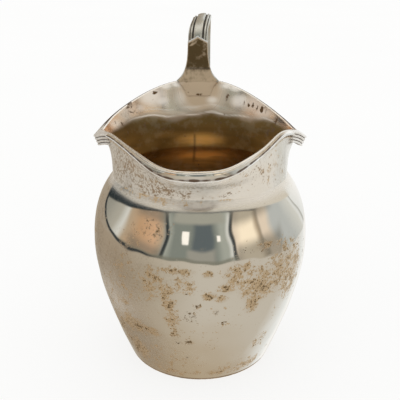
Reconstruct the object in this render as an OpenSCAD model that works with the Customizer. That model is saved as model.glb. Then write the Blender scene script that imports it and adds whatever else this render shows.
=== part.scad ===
// Silver cream jug. A round bowl stands on a flat base disc. A shaped mouth with a broad
// pouring lip, two side corners and a raised back collar is joined to it at the waist.
// A plain half-round wire edges the lip, a reeded border edges the collar from corner to
// corner, and a reeded strap handle springs from a plain tongue.
// Millimetres, +Z up, lip towards -Y, handle towards +Y, origin at the centre of the base.

/* [Bowl] */
// Greatest diameter of the bowl
belly_d = 72.6; // [68:0.2:78]
// Height of the greatest diameter
belly_z = 43; // [41:0.2:45]
// Diameter of the bowl where it stands on the base disc
base_d = 51.8; // [48:0.2:56]
// Narrowest diameter, at the waist under the mouth
waist_d = 58; // [56:0.2:60]
// Height of the waist
waist_z = 66; // [65:0.2:68]
// Thickness of the silver sheet
sheet = 0.8; // [0.6:0.1:1.2]
// Thickness of the base disc
base_t = 0.9; // [0.7:0.1:1.4]

/* [Mouth] */
// Height of the rim at the lip and at the side corners
rim_z = 79; // [76:0.5:82]
// Rise of the rim from the side corners to the handle
back_rise = 11.2; // [6:0.2:14]
// Drop of the rim at the tip of the lip
lip_drop = 0.1; // [0:0.1:1]
// Distance from the axis to the tip of the lip
lip_reach = 43.8; // [38:0.2:46]
// Distance from the axis to each flank of the lip, level with the axis
flank_x = 30.8; // [30:0.1:32]
// Slant of each flank to the middle plane
flank_angle = 27.2; // [24:0.1:30]
// Radius of the rim just behind the side corners
corner_r = 33.6; // [32.6:0.1:34.4]
// Radius of the rim at the handle
back_r = 33.4; // [32:0.1:36]
// Dip of the rim just behind the side corners
corner_dip = 1.1; // [0:0.1:2]
// Extra rise of the right flank of the lip, as raised by hand
right_lift = 2.2; // [0:0.1:3]
// Fall of the right side of the collar, as raised by hand
right_fall = 1.9; // [0:0.1:3]
// Sideways offset of the lip and the handle from the axis, as raised by hand
mouth_skew = -1; // [-1.5:0.1:1.5]

/* [Rim edging] */
// Width of the plain wire under the lip's edge
wire_w = 1.8; // [1.6:0.1:2.6]
// How far the wire stands out from the wall
wire_out = 0.7; // [0.5:0.1:1.2]
// Width of the reeded border under the collar's edge
border_w = 3.9; // [3.2:0.1:4.6]
// How far the border's reeds stand out from the wall
border_out = 1.3; // [1:0.1:1.8]
// How far the border stands above the collar's edge
border_proud = 0.4; // [0:0.1:0.6]
// Depth of the grooves between the reeds
border_groove = 0.45; // [0.2:0.05:0.6]
// Extra swell of the edging at the two side corners, as a share of its height
corner_swell = 1.5; // [0:0.1:1.8]
// Extra width of the edging at the two side corners, as a share of its width
corner_fan = 0.1; // [0:0.05:0.5]
// Extra swell of the wire at the tip of the lip, as a share of its height
lip_swell = 1.2; // [0:0.1:1.6]
// Extra width of the wire at the tip of the lip, as a share of its width
lip_fan = 0.95; // [0:0.05:1.2]

/* [Handle] */
// Half width of the strap along the loop
strap_half = 3.5; // [3:0.1:4]
// Half width of the strap where it meets the bowl
strap_foot_half = 4.4; // [4:0.1:5]
// Thickness of the strap behind the tongue, where it is plain
strap_plain = 1; // [0.8:0.1:1.4]
// Height of the strap's foot on the bowl
foot_z = 52; // [50:0.5:56]
// Distance from the axis to the inside of the loop at its back
loop_y = 61.5; // [56:0.5:66]
// Height of the inside of the loop at its top
loop_z = 111.2; // [109:0.2:114]
// Sideways lean of the top of the loop from the tongue
strap_lean = 1.6; // [-2:0.1:2]
// Rise of the strap's edge over its middle at the top of the loop
strap_roll = 0.5; // [-1:0.1:1]
// Half width of the tongue at its top
tongue_half = 3.6; // [3.5:0.1:4.2]
// Height of the tongue's shoulders
tongue_z = 104; // [101:0.1:105]
// Rise of the tongue's pointed top above its shoulders
tongue_point = 2; // [1:0.1:3]
// Thickness of the tongue above the rim
tongue_t = 0.9; // [0.7:0.1:1.2]

/* [Hidden] */
// Radii of the bowl
belly_r = belly_d / 2;
base_r = base_d / 2;
waist_r = waist_d / 2;
// Gap filled by solder between two soldered faces
solder = 0.03;
// Length of the handles of the bowl's outline below the belly, above it and under the waist
belly_pull = 6.3;
shoulder_pull = 16.7;
waist_pull = 1.3;
// Setback of the base disc's edge under the bowl
base_step = 0.3;
// Sharpness of the rounding at the lip and at the side corners
lip_round = 12;
corner_round = 80;
// Angle from the lip to the joint of wire and border, at each side corner
joint_a = 86;
// Angle from the lip to the middle of each side corner, and the angle that it fades over
corner_a = 100;
corner_span = 11;
// Angle from the lip to the highest part of the right flank, and the angle that it fades over
lift_a = 69;
lift_span = 21;
// Angle from the lip to the lowest part of the collar's right side, and the angles that it fades
// over towards the lip and towards the handle
fall_a = 112;
fall_front = 22;
fall_back = 58;
// Droop of the edging at the side corners, as a share of its height
corner_droop = 0.16;
// Height of the border where it meets the wire, as a share of its full height, and the angle
// over which it grows
joint_share = 0.5;
joint_span = 8;
// Share of the height at which the collar is creased
crease_t = 0.54;
// Height of the tongue's lower edge, lapped inside the collar
tongue_foot_z = 84.8;
// Thickness of the tongue at its lower edge, as a share of its full thickness
tongue_feather = 0.25;
// Extra half width of the tongue where it crosses the rim, and the height it fades over
tongue_fan = 4.2;
fan_h = 3.2;
// Height over which the tongue turns upright above the rim
tongue_bend = 7;
// Steps along the curves
bowl_n = 28;
mouth_n = 8;
column_n = 96;
edging_n = 60;
wire_n = 6;
reed_n = 12;
tongue_n = 16;
strap_n = 10;
$fn = 120;

function unit(v) = v / norm(v);

// Point of a cubic curve with two end points and two handles
function cubic(p, t) =
    p[0] * (1 - t) ^ 3 + p[1] * 3 * t * (1 - t) ^ 2 + p[2] * 3 * t ^ 2 * (1 - t) + p[3] * t ^ 3;

function cubic_points(p, n, first = 0) = [for (i = [first:n]) cubic(p, i / n)];

// Outer outline of the bowl as radius and height, from the base disc to the waist
belly_point = [belly_r, belly_z];
waist_point = [waist_r, waist_z];
bowl_outline = concat(
    cubic_points(
        [[base_r, base_t], [belly_r - 0.4, 27], [belly_r, belly_z - belly_pull], belly_point],
        bowl_n
    ),
    cubic_points(
        [belly_point, [belly_r, belly_z + shoulder_pull], waist_point - [0, waist_pull], waist_point],
        bowl_n, 1
    )
);

bowl_table = [for (p = bowl_outline) [p[1], p[0]]];

function bowl_r(z) = lookup(z, bowl_table);

// Rim outline seen from above, at angle a from the lip
function lip_near(a) = max(0, cos(a)) / lip_reach;
function flank_near(a) = max(0, abs(sin(a)) + tan(flank_angle) * cos(a)) / flank_x;
function front_near(a) = (lip_near(a) ^ lip_round + flank_near(a) ^ lip_round) ^ (1 / lip_round);
function back_share(a) = cos(a) < 0 ? cos(a) ^ 2 : 0;
function back_near(a) =
    cos(a) > 0 ? abs(sin(a)) / corner_r : 1 / (corner_r + (back_r - corner_r) * back_share(a));
function rim_r(a) =
    (front_near(a) ^ corner_round + back_near(a) ^ corner_round) ^ (-1 / corner_round);
function corner_share(a) = exp(-((acos(cos(a)) - corner_a) / corner_span) ^ 2);
function lip_share(a) = max(0, cos(a)) ^ 10;
function rise_share(a) = max(0, -cos(a)) ^ 2.2;
function lift_share(a) = exp(-((a - lift_a) / lift_span) ^ 2);
function fall_away(a) = a < fall_a ? (fall_a - a) / fall_front : (a - fall_a) / fall_back;
function fall_share(a) = (1 + cos(180 * min(1, fall_away(a)))) / 2;
function rim_rise(a) =
    back_rise * rise_share(a) + right_lift * lift_share(a) - right_fall * fall_share(a);
function rim_top(a) = rim_z + rim_rise(a) - corner_dip * corner_share(a) - lip_drop * lip_share(a);

// Share of the flare reached at share t of the height, with a crease in the collar
function bend(t) = sqrt((t - crease_t) ^ 2 + 0.0016) + t;
function crease(t) = (bend(t) - bend(0)) / (bend(1) - bend(0));
function sweep_power(a) = cos(a) > 0 ? 1.2 + 0.3 * cos(a) ^ 2 : 1.2;
function flare(a, t) = (1 - back_share(a)) * t ^ sweep_power(a) + back_share(a) * crease(t);

// Outer face of the mouth, and its outward direction
function wall_r(a, t) = waist_r + (rim_r(a) - waist_r) * flare(a, t);
function wall_z(a, t) = waist_z + (rim_top(a) - waist_z) * t;
function wall_shift(a, t) = mouth_skew * cos(a) ^ 2 * t;
function wall(a, t) =
    [wall_r(a, t) * sin(a) + wall_shift(a, t), -wall_r(a, t) * cos(a), wall_z(a, t)];
function wall_out(a, t) =
    unit(cross(wall(a + 0.2, t) - wall(a - 0.2, t), wall(a, t + 0.005) - wall(a, t - 0.005)));
function wall_in(a, t) =
    t == 0 ? wall(a, 0) - sheet * [sin(a), -cos(a), 0] : wall(a, t) - sheet * wall_out(a, t);

// Angles of the columns, closer together at the lip, the corners and the handle
function column(u) = u - 7 * sin(4 * u);
function column_at(v, first, last) = first + (column(180 * v) / 180) * (last - first);

// Loop round an edging of width w at angle a, standing proud of the rim, with lists of heights
// and of groove depths from its top downwards
function edging_loop(a, w, heights, grooves, proud = 0) =
    let (n = len(heights) - 1)
    let (wide = w * (1 + corner_fan * corner_share(a) + lip_fan * lip_share(a)))
    let (step = 0.1 / norm(wall(a, 1) - wall(a, 0.9)))
    let (rows = [for (k = [0:n]) 1 + step * (proud - wide * k / n)])
    let (swell = 1 + corner_swell * corner_share(a) + lip_swell * lip_share(a))
    concat(
        [
            for (k = [0:n])
            wall(a, rows[k])
                + (swell * heights[k] - grooves[k]) * wall_out(a, rows[k])
                - [0, 0, corner_droop * corner_share(a) * swell * heights[k]]
        ],
        [for (k = [n:-1:0]) wall(a, rows[k]) + solder * wall_out(a, rows[k])]
    );

// Heights of the half-round wire and of the border above the wall, and the grooves that
// part the border into four reeds
wire_heights = [for (k = [0:wire_n]) 0.2 + wire_out * sin(180 * k / wire_n)];
wire_grooves = [for (k = [0:wire_n]) 0];
border_heights = [for (k = [0:reed_n]) k == 0 || k == reed_n ? 0.4 : border_out];
border_grooves = [
    for (k = [0:reed_n]) k == 0 || k == reed_n ? 0 : border_groove * (1 - abs(sin(720 * k / reed_n)))
];

function joint_grow(a) = min(1, (acos(cos(a)) - joint_a) / joint_span);
function grown_heights(a) = border_heights * (joint_share + (1 - joint_share) * joint_grow(a));

// Back face of the tongue on the middle plane
collar_z = rim_top(180);
collar_tilt = atan((back_r - waist_r) / (collar_z - waist_z) / (1 - crease_t));
function collar_t(z) = min(1, (z - waist_z) / (collar_z - waist_z));
function collar_y(z) = wall_r(180, collar_t(z)) - sheet / cos(collar_tilt);
collar_lean = (collar_y(collar_z) - collar_y(collar_z - 0.5)) / 0.5;
function tongue_rise(z) = min(max(z - collar_z, 0), tongue_bend);
function tongue_y(z) =
    collar_y(min(z, collar_z)) + collar_lean * (tongue_rise(z) - tongue_rise(z) ^ 2 / (2 * tongue_bend));
function tongue_w(z) = tongue_half + tongue_fan * exp(-abs(z - collar_z) / fan_h);
function tongue_bow(z) = 1 - tongue_rise(z) / tongue_bend;
function tongue_top(x) = tongue_z + tongue_point * (1 - abs(x));
function tongue_back(x, z) =
    let (r = tongue_y(z), w = x * tongue_w(z))
    [w + wall_shift(180, collar_t(z)), r - tongue_bow(z) * (r - sqrt(r ^ 2 - w ^ 2)) - solder, z];
function tongue_point_at(x, share) =
    tongue_back(x, tongue_foot_z + (tongue_top(x) - tongue_foot_z) * share);
function tongue_lap(z) = min(1, (z - tongue_foot_z) / (collar_z - tongue_foot_z));
function tongue_front(p) =
    p - [0, tongue_t * (tongue_feather + (1 - tongue_feather) * tongue_lap(p[2])), 0];

// Inner line of the strap on the middle plane, from the collar over the loop to the bowl
strap_start_z = collar_z + 0.4;
upright_y = tongue_y(tongue_z) + strap_plain;
function strap_rise(z) = [tongue_y(z) + strap_plain, z];
strap_top_i = 2 * strap_n;
strap_path = concat(
    [for (i = [0:strap_n - 1]) strap_rise(strap_start_z + (tongue_z - strap_start_z) * i / strap_n)],
    cubic_points([[upright_y, tongue_z], [upright_y, 109], [41, loop_z], [47, loop_z]], strap_n),
    cubic_points([[47, loop_z], [56, loop_z], [loop_y, 104], [loop_y, 93]], strap_n, 1),
    cubic_points([[loop_y, 93], [loop_y, 77], [52, 58], [bowl_r(foot_z), foot_z]], strap_n, 1)
);
strap_last = len(strap_path) - 1;

function strap_along(i) = unit(strap_path[min(i + 1, strap_last)] - strap_path[max(i - 1, 0)]);
function strap_share(i) = max(0, i - strap_top_i) / (strap_last - strap_top_i);
function strap_w(i) = strap_half + (strap_foot_half - strap_half) * strap_share(i) ^ 3;
function strap_turn(i) = min(1, max(0, i - strap_n) / strap_n);
function strap_ease(i) = (1 - cos(180 * strap_turn(i))) / 2;
function strap_x(i) = (mouth_skew + strap_lean * strap_ease(i)) * (1 - strap_share(i));
function strap_tip(i, x) = x * strap_roll * strap_ease(i) * (1 - strap_share(i));

// Half section of the strap as share of the half width and height: a wide middle band,
// a groove, a reed, a groove and an edge reed
strap_section = [
    [0, 1.75], [0.2, 1.72], [0.41, 1.58], [0.48, 0.95], [0.57, 0.9], [0.64, 1.22],
    [0.76, 1.15], [0.82, 0.7], [0.87, 0.8], [0.93, 0.75], [1, 0.35]
];
strap_side_n = len(strap_section);
strap_marks = concat(
    [for (j = [strap_side_n - 1:-1:1]) [-strap_section[j][0], strap_section[j][1]]],
    strap_section
);

// Share of the reeded relief: none behind the tongue, all of it above the tongue's edge
function relief(i, x) =
    i > strap_top_i ? 1 : min(1, max(0, (strap_path[i][1] - tongue_top(x) - 0.2) / 0.8));

function strap_point(i, x, h) =
    let (d = strap_along(i), p = strap_path[i] + (h + strap_tip(i, x)) * [-d[1], d[0]], w = x * strap_w(i))
    i < strap_last ? [w + strap_x(i), p[0], p[1]] : [w, sqrt((bowl_r(p[1]) + solder) ^ 2 - w ^ 2), p[1]];

function strap_loop(i) = concat(
    [for (m = strap_marks) strap_point(i, m[0], strap_plain + (m[1] - strap_plain) * relief(i, m[0]))],
    [for (j = [len(strap_marks) - 1:-1:0]) strap_point(i, strap_marks[j][0], 0)]
);

// Solid through a row of loops. Each loop goes out along one face and back along the other.
module loft(loops, closed = false) {
    n = len(loops);
    m = len(loops[0]);
    w = m / 2;
    sides = [
        for (i = [0:closed ? n - 1 : n - 2], j = [0:m - 1])
        let (k = (i + 1) % n, l = (j + 1) % m)
        each [[i * m + j, k * m + l, i * m + l], [i * m + j, k * m + j, k * m + l]]
    ];
    first = [
        for (j = [0:w - 2])
        each [[j, j + 1, m - 2 - j], [j, m - 2 - j, m - 1 - j]]
    ];
    last = [for (f = first) [f[0], f[2], f[1]] + (n - 1) * m * [1, 1, 1]];
    points = [for (loop = loops) each loop];
    polyhedron(points, closed ? sides : concat(sides, first, last));
}

// Round bowl, open at both ends
module bowl() {
    inside = [for (i = [len(bowl_outline) - 1:-1:0]) bowl_outline[i] - [sheet, 0]];
    color("silver")
    rotate_extrude()
    polygon(concat(bowl_outline, inside));
}

// Mouth sheet from the waist to the rim
module mouth() {
    color("gainsboro")
    loft([
        for (i = [0:column_n - 1])
        let (a = column(360 * i / column_n))
        concat(
            [for (k = [0:mouth_n]) wall_in(a, k / mouth_n)],
            [for (k = [mouth_n:-1:0]) wall(a, k / mouth_n)]
        )
    ], closed = true);
}

// Flat disc under the bowl
module base_disc() {
    color("darkgray")
    cylinder(h = base_t, r = base_r - base_step);
}

// Plain wire under the edge of the lip, from corner to corner
module lip_wire() {
    color("lightgray")
    loft([
        for (i = [0:edging_n])
        edging_loop(column_at(i / edging_n, -joint_a, joint_a), wire_w, wire_heights, wire_grooves)
    ]);
}

// Reeded border under the edge of the collar, from corner to corner round the back
module collar_border() {
    color("lightgray")
    loft([
        for (i = [0:edging_n])
        let (a = column_at(i / edging_n, joint_a, 360 - joint_a))
        edging_loop(a, border_w, grown_heights(a), border_grooves, border_proud * joint_grow(a))
    ]);
}

// Plain plate lapped inside the collar and standing above it to a pointed top
module handle_tongue() {
    marks = [for (j = [-4:4]) j / 4];
    color("silver")
    loft([
        for (i = [0:tongue_n])
        concat(
            [for (x = marks) tongue_front(tongue_point_at(x, i / tongue_n))],
            [for (x = marks) tongue_point_at(-x, i / tongue_n)]
        )
    ]);
}

// Reeded strap from the tongue, over the loop and down to the bowl
module handle_strap() {
    color("gainsboro")
    loft([for (i = [0:strap_last]) strap_loop(i)]);
}

bowl();
mouth();
base_disc();
lip_wire();
collar_border();
handle_tongue();
handle_strap();
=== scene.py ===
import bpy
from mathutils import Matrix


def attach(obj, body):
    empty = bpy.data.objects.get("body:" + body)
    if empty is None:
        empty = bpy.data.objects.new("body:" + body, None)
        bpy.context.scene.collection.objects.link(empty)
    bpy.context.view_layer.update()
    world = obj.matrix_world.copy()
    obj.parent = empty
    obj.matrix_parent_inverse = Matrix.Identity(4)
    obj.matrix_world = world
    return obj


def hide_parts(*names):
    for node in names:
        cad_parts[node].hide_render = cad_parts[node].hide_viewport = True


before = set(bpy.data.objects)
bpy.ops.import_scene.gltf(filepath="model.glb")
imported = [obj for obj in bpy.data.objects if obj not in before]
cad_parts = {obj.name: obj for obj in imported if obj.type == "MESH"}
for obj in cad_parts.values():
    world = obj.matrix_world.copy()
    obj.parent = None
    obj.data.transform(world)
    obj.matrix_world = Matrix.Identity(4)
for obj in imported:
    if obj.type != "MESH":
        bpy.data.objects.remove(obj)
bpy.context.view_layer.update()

import math

import bmesh
import bpy
import numpy as np

mm = 0.001
print("frame loaded:", ", ".join(sorted(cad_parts)))


# shared helpers for curves and skins
def sind(a):
    return np.sin(np.radians(a))


def cosd(a):
    return np.cos(np.radians(a))


def unit(v):
    return v / np.linalg.norm(v, axis=-1, keepdims=True)


def limit(v):
    return np.clip(v, 0, 1)


def bell(away, span, power=2):
    return np.exp(-(away / span) ** power)


def atLeast(low, share):
    return low + (1 - low) * share


def ease(v):
    return (1 - np.cos(np.pi * v)) / 2


def fromLip(a):
    # degrees from the lip, the same either way round
    return np.degrees(np.arccos(np.clip(cosd(a), -1, 1)))


def aroundAxis(points):
    x, y = points[..., 0], points[..., 1]
    return np.degrees(np.arctan2(x, -y)), np.hypot(x, y)


def turnFrom(a, angle):
    return (a - angle + 180) % 360 - 180


def cubicLine(p0, h0, h1, p1, steps, first=0):
    t = np.linspace(0, 1, steps + 1)[first:, None]
    p0, h0, h1, p1 = (np.array(p, float) for p in (p0, h0, h1, p1))
    return p0 * (1 - t) ** 3 + h0 * 3 * t * (1 - t) ** 2 + h1 * 3 * t ** 2 * (1 - t) + p1 * t ** 3


def meshPiece(name, points, faces, sharp):
    mesh = bpy.data.meshes.new(name)
    mesh.from_pydata((points * mm).tolist(), [], faces)
    work = bmesh.new()
    work.from_mesh(mesh)
    bmesh.ops.recalc_face_normals(work, faces=work.faces)
    work.to_mesh(mesh)
    work.free()
    mesh.shade_smooth()
    mesh.set_sharp_from_angle(angle=math.radians(sharp))
    piece = bpy.data.objects.new(name, mesh)
    bpy.context.scene.collection.objects.link(piece)
    return piece


def buildSkin(name, loops, ring=False, sharp=55):
    # loops: one closed row of points per station, joined row to row
    count, size = loops.shape[:2]
    faces = []
    for i in range(count if ring else count - 1):
        row, ahead = i * size, (i + 1) % count * size
        for j in range(size):
            k = (j + 1) % size
            faces.append((row + j, ahead + j, ahead + k, row + k))
    if not ring:  # close both ends between the two faces of the row
        last = (count - 1) * size
        for j in range(size // 2 - 1):
            k = size - 1 - j
            faces.append((j, j + 1, k - 1, k))
            faces.append((last + k, last + k - 1, last + j + 1, last + j))
    return meshPiece(name, loops.reshape(-1, 3), faces, sharp)


def paintPoints(piece, name, values):
    layer = piece.data.attributes.new(name, "FLOAT", "POINT")
    layer.data.foreach_set("value", np.ravel(values).astype(np.float32))


patchFall = 1.4  # above 1, patches are flatter in the middle and steeper at the edge


def stainField(points, stains):
    # strongest of several soft patches: angle, height, half width, half height, strength
    a, r = aroundAxis(points)
    field = np.zeros(a.shape)
    for angle, z, wide, high, strength in stains:
        side = np.radians(turnFrom(a, angle)) * r / wide
        rise = (points[..., 2] - z) / high
        field = np.maximum(field, strength * np.exp(-(side ** 2 + rise ** 2) ** patchFall))
    return field


def paintPatches(piece, points, patches):
    for name, stains in patches.items():
        paintPoints(piece, name, stainField(points, stains))


def setSides(piece, loops, second):
    # second finish on the faces of these rows, first on the rest
    piece.data.polygons.foreach_set("material_index", np.tile(second, len(loops)).astype(np.int32))


def placePiece(piece, nodeName, materials):
    for material in materials:
        piece.data.materials.append(material)
    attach(piece, "root")
    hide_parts(nodeName)
    print("made", piece.name, len(piece.data.polygons), "faces")


# shared helpers for node trees
def put(tree, kind, inputs=None, out=0, **settings):
    node = tree.nodes.new("ShaderNode" + kind)
    for key, value in settings.items():
        setattr(node, key, value)
    for key, value in (inputs or {}).items():
        if isinstance(value, bpy.types.NodeSocket):
            tree.links.new(value, node.inputs[key])
        else:
            node.inputs[key].default_value = value
    return node.outputs[out]


def calc(tree, operation, a, b=0.0, clamp=False):
    return put(tree, "Math", {0: a, 1: b}, operation=operation, use_clamp=clamp)


def times(tree, a, b, clamp=False):
    return calc(tree, "MULTIPLY", a, b, clamp)


def plus(tree, a, b):
    return calc(tree, "ADD", a, b)


def minus(tree, a, b):
    return calc(tree, "SUBTRACT", a, b)


def most(tree, a, b):
    return calc(tree, "MAXIMUM", a, b)


def weigh(tree, a, b, share):
    return plus(tree, times(tree, a, 1 - share), times(tree, b, share))


def fade(tree, value, low, high, toLow=0.0, toHigh=1.0):
    ends = {"Value": value, "From Min": low, "From Max": high, "To Min": toLow, "To Max": toHigh}
    return put(tree, "MapRange", ends, interpolation_type="SMOOTHSTEP")


def mixTone(tree, share, a, b):
    return put(tree, "Mix", {0: share, 6: a, 7: b}, out=2, data_type="RGBA")


def mixValue(tree, share, a, b):
    return put(tree, "Mix", {0: share, 2: a, 3: b}, out=0, data_type="FLOAT")


def noise(tree, place, scale, detail=3.0, rough=0.5):
    inputs = {"Vector": place, "Scale": scale, "Detail": detail, "Roughness": rough}
    return put(tree, "TexNoise", inputs)


def pointValue(tree, name):
    return put(tree, "Attribute", out="Fac", attribute_name=name)


def tone(r, g, b):
    # screen colour 0 to 255 as linear light
    linear = [((c / 255 + 0.055) / 1.055) ** 2.4 if c > 10 else c / 3295 for c in (r, g, b)]
    return (*linear, 1.0)


def newFinish(name):
    material = bpy.data.materials.new(name)
    material.use_nodes = True
    tree = material.node_tree
    tree.nodes.clear()
    output = tree.nodes.new("ShaderNodeOutputMaterial")
    shader = tree.nodes.new("ShaderNodeBsdfPrincipled")
    tree.links.new(shader.outputs[0], output.inputs["Surface"])
    return material, tree, shader


def feed(tree, shader, **sockets):
    names = {"color": "Base Color", "rough": "Roughness", "metal": "Metallic", "normal": "Normal"}
    for key, value in sockets.items():
        socket = shader.inputs[names[key]]
        if isinstance(value, bpy.types.NodeSocket):
            tree.links.new(value, socket)
        else:
            socket.default_value = value


# worn silver: polished metal, a dull warm film where haze is painted, tan patches and brown
# specks where stain and fleck are; in the finishes, scales are per metre and bump heights in metres
wornSilver = {
    "metal": (0.90, 0.875, 0.83, 1), "film": (0.77, 0.715, 0.625, 1), "grime": (0.20, 0.16, 0.105, 1),
    "tan": (0.55, 0.405, 0.24, 1), "umber": (0.14, 0.09, 0.042, 1), "rust": (0.29, 0.205, 0.13, 1),
    "polish": 0.06, "dull": 0.34, "stainRough": 0.5, "filmMetal": 0.15, "stainMetal": 0.5,
    "cloudScale": 75.0, "blotScale": 430.0, "grainScale": 1500.0, "bump": 0.3, "bumpHigh": 0.00005,
    # each fades from the first value to the second, and some give other ends than nought and one
    "filmBreak": (0.25, 0.62, 0.55, 1.0), "grimeBreak": (0.46, 0.58, 0.4, 0.95),
    "haloRise": (0.05, 0.2, 0.0, 0.3), "haloBreak": (0.35, 0.6, 0.3, 1.0),
    "patchEdge": (0.615, 0.665), "speckEdge": (0.675, 0.705),
    "grimeGrain": 0.65, "patchGrain": 0.4, "speckGrain": 0.6,  # share of the fine noise in each
    "speckPush": 0.74, "patchShare": 0.95, "patchRough": 0.6, "pitDeep": 0.8,
}


def makeWornSilver(name, look):
    material, tree, shader = newFinish(name)
    place = put(tree, "TexCoord", out="Object")
    stain = pointValue(tree, "stain")
    haze = pointValue(tree, "haze")
    cloud = noise(tree, place, look["cloudScale"])
    blot = noise(tree, place, look["blotScale"], 6.0, 0.7)
    grain = noise(tree, place, look["grainScale"], 4.0, 0.7)
    # haze breaks up softly and holds fine grime, patches and specks break up sharply
    film = times(tree, haze, fade(tree, cloud, *look["filmBreak"]), True)
    worn = weigh(tree, blot, grain, look["grimeGrain"])
    grime = times(tree, pointValue(tree, "grime"), fade(tree, worn, *look["grimeBreak"]))
    coarse = weigh(tree, blot, grain, look["patchGrain"])
    fine = weigh(tree, blot, grain, look["speckGrain"])
    halo = times(tree, fade(tree, stain, *look["haloRise"]), fade(tree, cloud, *look["haloBreak"]))
    patch = fade(tree, plus(tree, coarse, stain), *look["patchEdge"])
    push = most(tree, times(tree, stain, look["speckPush"]), pointValue(tree, "fleck"))
    speck = fade(tree, plus(tree, fine, push), *look["speckEdge"])
    silver = mixTone(tree, film, look["metal"], look["film"])
    silver = mixTone(tree, grime, silver, look["grime"])
    ochre = most(tree, halo, times(tree, patch, look["patchShare"]))
    color = mixTone(tree, ochre, silver, look["tan"])
    # specks are paler where a film lies over them
    color = mixTone(tree, speck, color, mixTone(tree, film, look["umber"], look["rust"]))
    marked = most(tree, times(tree, patch, look["patchRough"]), speck)
    base = mixValue(tree, film, look["polish"], look["dull"])
    rough = mixValue(tree, marked, base, look["stainRough"])
    bare = fade(tree, marked, 0.0, 1.0, 1.0, look["stainMetal"])
    metal = times(tree, bare, fade(tree, film, 0.0, 1.0, 1.0, look["filmMetal"]))
    height = minus(tree, times(tree, grain, film), times(tree, marked, look["pitDeep"]))
    normal = put(tree, "Bump", {"Strength": look["bump"], "Distance": look["bumpHigh"], "Height": height})
    feed(tree, shader, color=color, rough=rough, metal=metal, normal=normal)
    return material


# gilt inside: olive and golden brown below the crease, bright pinkish silver on the collar; the golden glow
# is painted light, deep is painted shade with the seam, ridge is painted highlights
giltInside = {
    "olive": (0.155, 0.105, 0.037, 1), "glowGold": (0.97, 0.53, 0.14, 1), "deep": (0.075, 0.04, 0.009, 1),
    "moss": (0.21, 0.17, 0.1, 1), "collar": (0.91, 0.83, 0.725, 1), "copper": (0.80, 0.47, 0.27, 1),
    "dull": (0.57, 0.45, 0.31, 1), "stain": (0.13, 0.08, 0.04, 1), "ridge": (0.98, 0.935, 0.85, 1),
    "goldRough": 0.25, "collarRough": 0.13, "dullRough": 0.36, "spotRough": 0.5,
    "goldMetal": 0.12, "collarMetal": 0.9, "mattMetal": 0.2, "sheen": 0.1,
    "cloudScale": 90.0, "blotScale": 380.0, "mottleScale": 260.0, "streakScale": 60.0, "waveScale": 110.0,
    "mossUnder": (0.45, 0.62, 0.0, 0.65), "mossOver": (0.48, 0.66, 0.0, 0.3),
    "patchBreak": (0.3, 0.62, 0.6, 1.0), "streakBreak": (0.35, 0.65, 0.55, 1.1),
    "streakFlat": (1.0, 1.0, 5.0), "giltEdge": (0.25, 0.75), "giltRagged": 0.7,
    "spotEdge": (0.64, 0.72), "spotPush": 0.6, "wave": 0.35, "waveHigh": 0.0006,
    "bump": 0.25, "bumpHigh": 0.00005,
}


def makeGiltInside(name, look):
    material, tree, shader = newFinish(name)
    place = put(tree, "TexCoord", out="Object")
    collar = pointValue(tree, "collar")
    stain = pointValue(tree, "stain")
    dull = pointValue(tree, "dull")
    cloud = noise(tree, place, look["cloudScale"], 4.0)
    blot = noise(tree, place, look["blotScale"], 6.0, 0.62)
    patchy = fade(tree, cloud, *look["patchBreak"])
    mottle = noise(tree, place, look["mottleScale"], 5.0, 0.65)
    shade = mixTone(tree, fade(tree, mottle, *look["mossUnder"]), look["olive"], look["moss"])
    # painted shade: darker where deep is painted, on the sides and low walls, and along the seam
    shade = mixTone(tree, times(tree, pointValue(tree, "deep"), patchy, True), shade, look["deep"])
    shade = mixTone(tree, fade(tree, mottle, *look["mossOver"]), shade, look["moss"])
    # painted glow, for light thrown up from the lit floor, lies in level streaks
    level = put(tree, "Mapping", {"Vector": place, "Scale": look["streakFlat"]})
    streak = fade(tree, noise(tree, level, look["streakScale"]), *look["streakBreak"])
    glowGold = mixTone(tree, times(tree, pointValue(tree, "glow"), streak, True), shade, look["glowGold"])
    pale = mixTone(tree, times(tree, pointValue(tree, "copper"), patchy), look["collar"], look["copper"])
    pale = mixTone(tree, dull, pale, look["dull"])
    # the gilding ends in a ragged line along the crease
    edge = plus(tree, collar, times(tree, minus(tree, cloud, 0.5), look["giltRagged"]))
    share = fade(tree, edge, *look["giltEdge"])
    plain = mixTone(tree, share, glowGold, pale)
    # ridge: painted highlights, near-white and matt, from glints, crease arcs and the rim's edge
    plain = mixTone(tree, pointValue(tree, "ridge"), plain, look["ridge"])
    spots = fade(tree, plus(tree, blot, times(tree, stain, look["spotPush"])), *look["spotEdge"])
    color = mixTone(tree, spots, plain, look["stain"])
    collarRough = mixValue(tree, dull, look["collarRough"], look["dullRough"])
    rough = mixValue(tree, share, look["goldRough"], collarRough)
    rough = mixValue(tree, spots, rough, look["spotRough"])
    metal = mixValue(tree, share, look["goldMetal"], look["collarMetal"])
    matt = most(tree, most(tree, spots, dull), pointValue(tree, "ridge"))
    metal = times(tree, metal, fade(tree, matt, 0.0, 1.0, 1.0, look["mattMetal"]))
    swell = noise(tree, place, look["waveScale"], 2.0, 0.4)
    wavy = put(tree, "Bump", {"Strength": look["wave"], "Distance": look["waveHigh"], "Height": swell})
    fine = {"Strength": look["bump"], "Distance": look["bumpHigh"], "Height": blot, "Normal": wavy}
    feed(tree, shader, color=color, rough=rough, metal=metal, normal=put(tree, "Bump", fine))
    shader.inputs["Specular IOR Level"].default_value = look["sheen"]
    return material
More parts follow.
